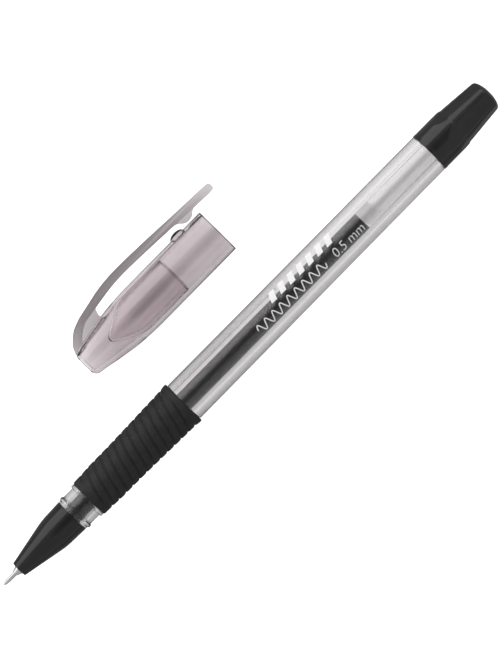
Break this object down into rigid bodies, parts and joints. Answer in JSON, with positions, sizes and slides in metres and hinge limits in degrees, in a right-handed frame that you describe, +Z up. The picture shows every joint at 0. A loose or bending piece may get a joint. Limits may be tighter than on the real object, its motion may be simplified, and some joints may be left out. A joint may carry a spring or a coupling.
{
  "type": "gel pen",
  "caption": "Open gel pen with needle tip, black ink in a clear barrel, grooved rubber grip, black nose and end plug, and a smoke-clear cap with a spring clip beside it.",
  "frame": {"origin": "middle of the footprint on the surface that the pen and its cap lie on", "axes": "+X along the pen from the tip towards the end plug, +Y from the pen towards the cap, +Z up"},
  "size_m": [0.1442, 0.035, 0.0107],
  "materials": {
    "clear_plastic": "clear, polished",
    "smoke_plastic": "smoke-tinted clear, polished",
    "smoke_clip": "smoke-tinted clear, polished",
    "smoke_liner": "smoke-tinted clear",
    "black_gloss": "gloss black",
    "black_cone": "gloss black",
    "black_rubber": "matt black",
    "refill_plastic": "natural translucent",
    "adapter_plastic": "natural",
    "black_ink": "wet black",
    "follower_gel": "clear grease",
    "tip_steel": "drawn stainless",
    "holder_steel": "turned stainless",
    "ball_carbide": "polished"
  },
  "bodies": {
    "barrel": {"barrel_tube": "clear_plastic", "grip_sleeve": "black_rubber", "end_plug": "black_gloss"},
    "nose": {"nose_cone": "black_cone"},
    "refill": {"refill_tube": "refill_plastic", "ink_column": "black_ink", "ink_follower": "follower_gel", "refill_adapter": "adapter_plastic", "needle_holder": "holder_steel", "needle_tube": "tip_steel"},
    "ball": {"writing_ball": "ball_carbide"},
    "cap": {"cap_shell": "smoke_plastic", "cap_liner": "smoke_liner"},
    "clip": {"cap_clip": "smoke_clip"}
  },
  "joints": [
    {"name": "nose_pull", "type": "slide", "parent": "barrel", "child": "nose", "axis": [-1, 0, 0], "range_m": [0, 0.012]},
    {"name": "refill_draw", "type": "slide", "parent": "nose", "child": "refill", "axis": [1, 0, 0], "range_m": [0, 0.008]},
    {"name": "ball_roll", "type": "hinge", "parent": "refill", "child": "ball", "pos_m": [-0.07185, -0.0121, 0.00537], "axis": [0, 1, 0], "continuous": true},
    {"name": "cap_slide", "type": "slide", "parent": "barrel", "child": "cap", "axis": [-0.9891, -0.147, 0], "range_m": [0, 0.13638]},
    {"name": "clip_flex", "type": "hinge", "parent": "cap", "child": "clip", "pos_m": [-0.01735, 0.01564, 0.00537], "axis": [0, 0, 1], "range_deg": [0, 3], "stiffness_Nm_per_rad": 0.8}
  ]
}
